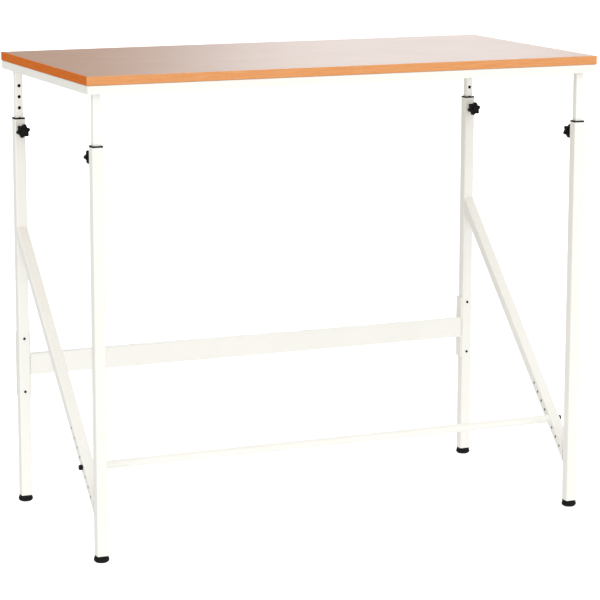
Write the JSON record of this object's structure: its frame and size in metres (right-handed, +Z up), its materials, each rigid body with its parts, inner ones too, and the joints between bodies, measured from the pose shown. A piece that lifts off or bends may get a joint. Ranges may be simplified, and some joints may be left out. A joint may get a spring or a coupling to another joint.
{
  "type": "height-adjustable stand-up work table",
  "caption": "Rectangular laminate worktop on a welded square-tube base: telescoping legs with hole rows and star knobs, diagonal braces, foot rail, back crossbar and levelling glides.",
  "frame": {"origin": "on the floor, under the centre of the worktop", "axes": "+X along the worktop's width to the user's right, +Y from the front edge to the back edge, +Z up"},
  "size_m": [1.2192, 0.6096, 1.0604],
  "materials": {
    "laminate": "satin high-pressure laminate, warm grey-beige",
    "edge_band": "satin plastic edge band, orange beech",
    "particleboard": "raw particleboard with a paper backer",
    "ivory_paint": "ivory powder coat, light orange-peel texture",
    "black_plastic": "moulded black nylon",
    "black_steel": "black oxide",
    "zinc_steel": "zinc plated"
  },
  "bodies": {
    "base": {"outer_leg_front_left": "ivory_paint", "outer_leg_front_right": "ivory_paint", "outer_leg_back_left": "ivory_paint", "outer_leg_back_right": "ivory_paint", "collar_front_left": "black_plastic", "collar_front_right": "black_plastic", "collar_back_left": "black_plastic", "collar_back_right": "black_plastic", "stud_nuts": "ivory_paint", "brace_left": "ivory_paint", "brace_right": "ivory_paint", "foot_rail": "ivory_paint", "foot_rail_inserts": "zinc_steel", "foot_rail_bolts": "black_steel", "crossbar": "ivory_paint", "bracket_left": "ivory_paint", "bracket_right": "ivory_paint", "bracket_bolts": "black_steel", "bracket_nuts": "zinc_steel", "leg_inserts": "black_plastic"},
    "top": {"worktop_core": "particleboard", "worktop_laminate": "laminate", "edge_band_front": "edge_band", "edge_band_back": "edge_band", "edge_band_left": "edge_band", "edge_band_right": "edge_band", "frame_rail_front": "ivory_paint", "frame_rail_back": "ivory_paint", "frame_rail_left": "ivory_paint", "frame_rail_right": "ivory_paint", "corner_plate_front_left": "ivory_paint", "corner_plate_front_right": "ivory_paint", "corner_plate_back_left": "ivory_paint", "corner_plate_back_right": "ivory_paint", "worktop_screws": "zinc_steel", "upper_leg_front_left": "ivory_paint", "upper_leg_front_right": "ivory_paint", "upper_leg_back_left": "ivory_paint", "upper_leg_back_right": "ivory_paint", "guide_shoe_front_left": "black_plastic", "guide_shoe_front_right": "black_plastic", "guide_shoe_back_left": "black_plastic", "guide_shoe_back_right": "black_plastic"},
    "lock_stud_front_left": {"lock_stud_front_left": "zinc_steel"},
    "lock_stud_front_right": {"lock_stud_front_right": "zinc_steel"},
    "lock_stud_back_left": {"lock_stud_back_left": "zinc_steel"},
    "lock_stud_back_right": {"lock_stud_back_right": "zinc_steel"},
    "star_knob_front_left": {"star_knob_front_left": "black_plastic"},
    "star_knob_front_right": {"star_knob_front_right": "black_plastic"},
    "star_knob_back_left": {"star_knob_back_left": "black_plastic"},
    "star_knob_back_right": {"star_knob_back_right": "black_plastic"},
    "glide_stem_front_left": {"glide_stem_front_left": "zinc_steel"},
    "glide_stem_front_right": {"glide_stem_front_right": "zinc_steel"},
    "glide_stem_back_left": {"glide_stem_back_left": "zinc_steel"},
    "glide_stem_back_right": {"glide_stem_back_right": "zinc_steel"},
    "glide_base_front_left": {"glide_base_front_left": "black_plastic"},
    "glide_base_front_right": {"glide_base_front_right": "black_plastic"},
    "glide_base_back_left": {"glide_base_back_left": "black_plastic"},
    "glide_base_back_right": {"glide_base_back_right": "black_plastic"}
  },
  "joints": [
    {"name": "top_height", "type": "slide", "parent": "base", "child": "top", "axis": [0, 0, 1], "range_m": [-0.1016, 0.2032]},
    {"name": "lock_stud_travel_front_left", "type": "slide", "parent": "base", "child": "lock_stud_front_left", "axis": [0, -1, 0], "range_m": [-0.002, 0.004]},
    {"name": "star_knob_turn_front_left", "type": "hinge", "parent": "lock_stud_front_left", "child": "star_knob_front_left", "pos_m": [-0.5804, -0.2603, 0.8834], "axis": [0, -1, 0], "range_deg": [-720, 1440]},
    {"name": "lock_stud_travel_front_right", "type": "slide", "parent": "base", "child": "lock_stud_front_right", "axis": [0, -1, 0], "range_m": [-0.002, 0.004]},
    {"name": "star_knob_turn_front_right", "type": "hinge", "parent": "lock_stud_front_right", "child": "star_knob_front_right", "pos_m": [0.5804, -0.2603, 0.8834], "axis": [0, -1, 0], "range_deg": [-720, 1440]},
    {"name": "lock_stud_travel_back_left", "type": "slide", "parent": "base", "child": "lock_stud_back_left", "axis": [0, 1, 0], "range_m": [-0.002, 0.004]},
    {"name": "star_knob_turn_back_left", "type": "hinge", "parent": "lock_stud_back_left", "child": "star_knob_back_left", "pos_m": [-0.5804, 0.2603, 0.8834], "axis": [0, 1, 0], "range_deg": [-720, 1440]},
    {"name": "lock_stud_travel_back_right", "type": "slide", "parent": "base", "child": "lock_stud_back_right", "axis": [0, 1, 0], "range_m": [-0.002, 0.004]},
    {"name": "star_knob_turn_back_right", "type": "hinge", "parent": "lock_stud_back_right", "child": "star_knob_back_right", "pos_m": [0.5804, 0.2603, 0.8834], "axis": [0, 1, 0], "range_deg": [-720, 1440]},
    {"name": "glide_travel_front_left", "type": "slide", "parent": "base", "child": "glide_stem_front_left", "axis": [0, 0, -1], "range_m": [0, 0.0125]},
    {"name": "glide_turn_front_left", "type": "hinge", "parent": "glide_stem_front_left", "child": "glide_base_front_left", "pos_m": [-0.5804, -0.273, 0.0066], "axis": [0, 0, -1], "range_deg": [0, 3600]},
    {"name": "glide_travel_front_right", "type": "slide", "parent": "base", "child": "glide_stem_front_right", "axis": [0, 0, -1], "range_m": [0, 0.0125]},
    {"name": "glide_turn_front_right", "type": "hinge", "parent": "glide_stem_front_right", "child": "glide_base_front_right", "pos_m": [0.5804, -0.273, 0.0066], "axis": [0, 0, -1], "range_deg": [0, 3600]},
    {"name": "glide_travel_back_left", "type": "slide", "parent": "base", "child": "glide_stem_back_left", "axis": [0, 0, -1], "range_m": [0, 0.0125]},
    {"name": "glide_turn_back_left", "type": "hinge", "parent": "glide_stem_back_left", "child": "glide_base_back_left", "pos_m": [-0.5804, 0.273, 0.0066], "axis": [0, 0, -1], "range_deg": [0, 3600]},
    {"name": "glide_travel_back_right", "type": "slide", "parent": "base", "child": "glide_stem_back_right", "axis": [0, 0, -1], "range_m": [0, 0.0125]},
    {"name": "glide_turn_back_right", "type": "hinge", "parent": "glide_stem_back_right", "child": "glide_base_back_right", "pos_m": [0.5804, 0.273, 0.0066], "axis": [0, 0, -1], "range_deg": [0, 3600]}
  ],
  "couplings": [
    {"joint": "star_knob_turn_front_left", "follows": "lock_stud_travel_front_left", "rad_per_m": 6283.2},
    {"joint": "star_knob_turn_front_right", "follows": "lock_stud_travel_front_right", "rad_per_m": 6283.2},
    {"joint": "star_knob_turn_back_left", "follows": "lock_stud_travel_back_left", "rad_per_m": 6283.2},
    {"joint": "star_knob_turn_back_right", "follows": "lock_stud_travel_back_right", "rad_per_m": 6283.2},
    {"joint": "glide_turn_front_left", "follows": "glide_travel_front_left", "rad_per_m": 5026.5},
    {"joint": "glide_turn_front_right", "follows": "glide_travel_front_right", "rad_per_m": 5026.5},
    {"joint": "glide_turn_back_left", "follows": "glide_travel_back_left", "rad_per_m": 5026.5},
    {"joint": "glide_turn_back_right", "follows": "glide_travel_back_right", "rad_per_m": 5026.5}
  ]
}
